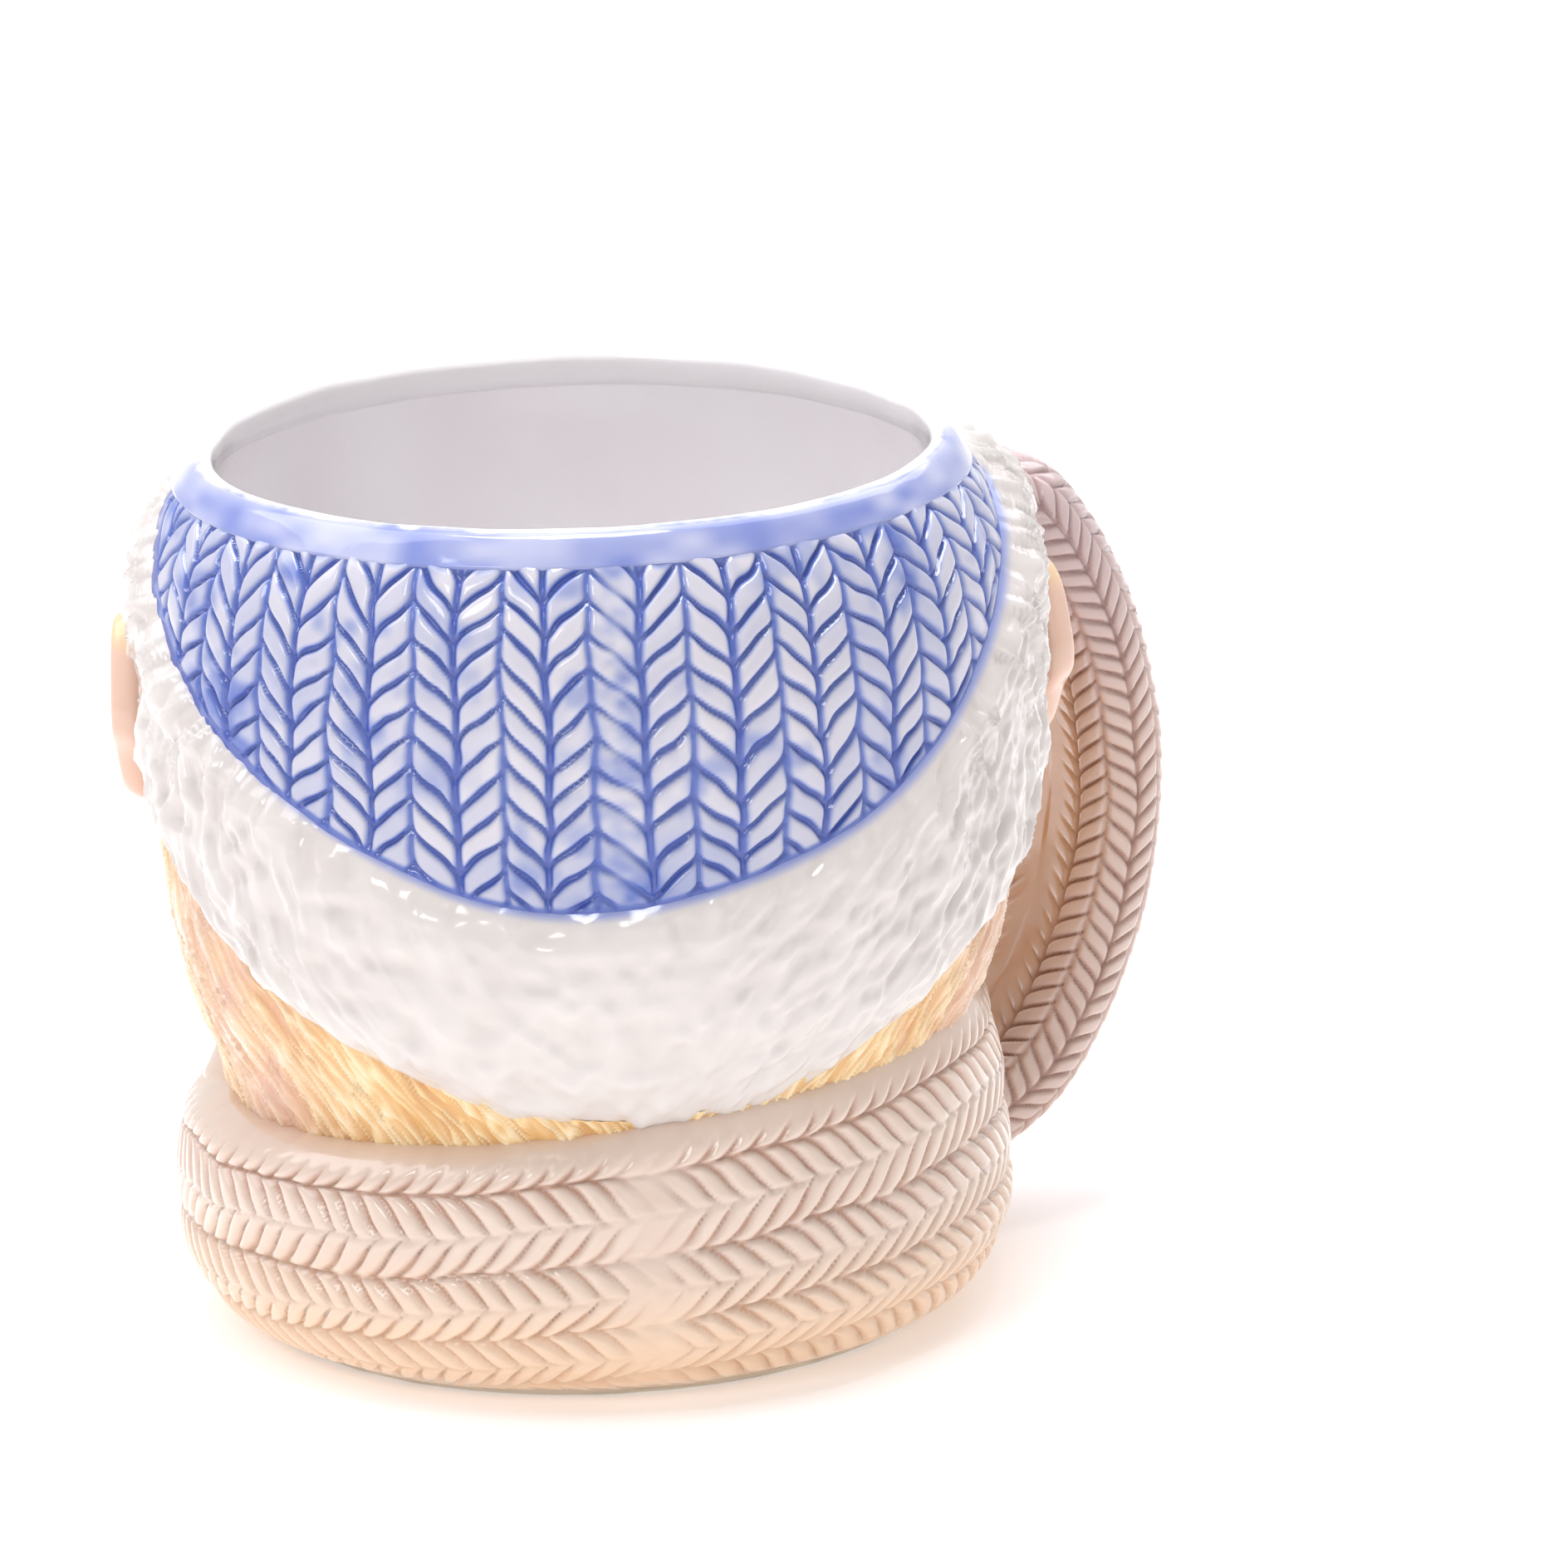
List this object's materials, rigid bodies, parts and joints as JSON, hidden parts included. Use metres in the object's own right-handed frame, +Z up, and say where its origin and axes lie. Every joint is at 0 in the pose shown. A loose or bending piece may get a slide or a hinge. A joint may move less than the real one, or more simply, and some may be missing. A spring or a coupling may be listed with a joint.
{
  "type": "figural ceramic mug bowl",
  "caption": "Glazed ceramic mug bowl shaped as the back of a head: knitted cap with fur cuff, wavy hair, wound scarf, and a scarf loop as its handle.",
  "frame": {"origin": "centre of the foot ring, on the plane that the vessel rests on", "axes": "+Z up through the mouth, +X towards the handle; the back of the head faces 112 degrees clockwise from +X, seen from above, and the face looks the opposite way"},
  "size_m": [0.1435, 0.12, 0.114],
  "materials": {
    "white_glaze": "gloss",
    "bare_clay": "matte",
    "blue_glaze": "gloss",
    "fur_glaze": "gloss",
    "hair_glaze": "gloss",
    "skin_glaze": "gloss",
    "scarf_glaze": "gloss",
    "handle_glaze": "gloss"
  },
  "bodies": {
    "root": {"inner_wall": "white_glaze", "foot_ring": "bare_clay", "rim_lip": "white_glaze", "knit_cap": "blue_glaze", "fur_cuff": "fur_glaze", "back_hair": "hair_glaze", "left_lock": "hair_glaze", "right_lock": "hair_glaze", "face": "skin_glaze", "left_ear": "skin_glaze", "right_ear": "skin_glaze", "scarf_wrap": "scarf_glaze", "scarf_collar": "scarf_glaze", "handle": "handle_glaze"}
  },
  "joints": []
}
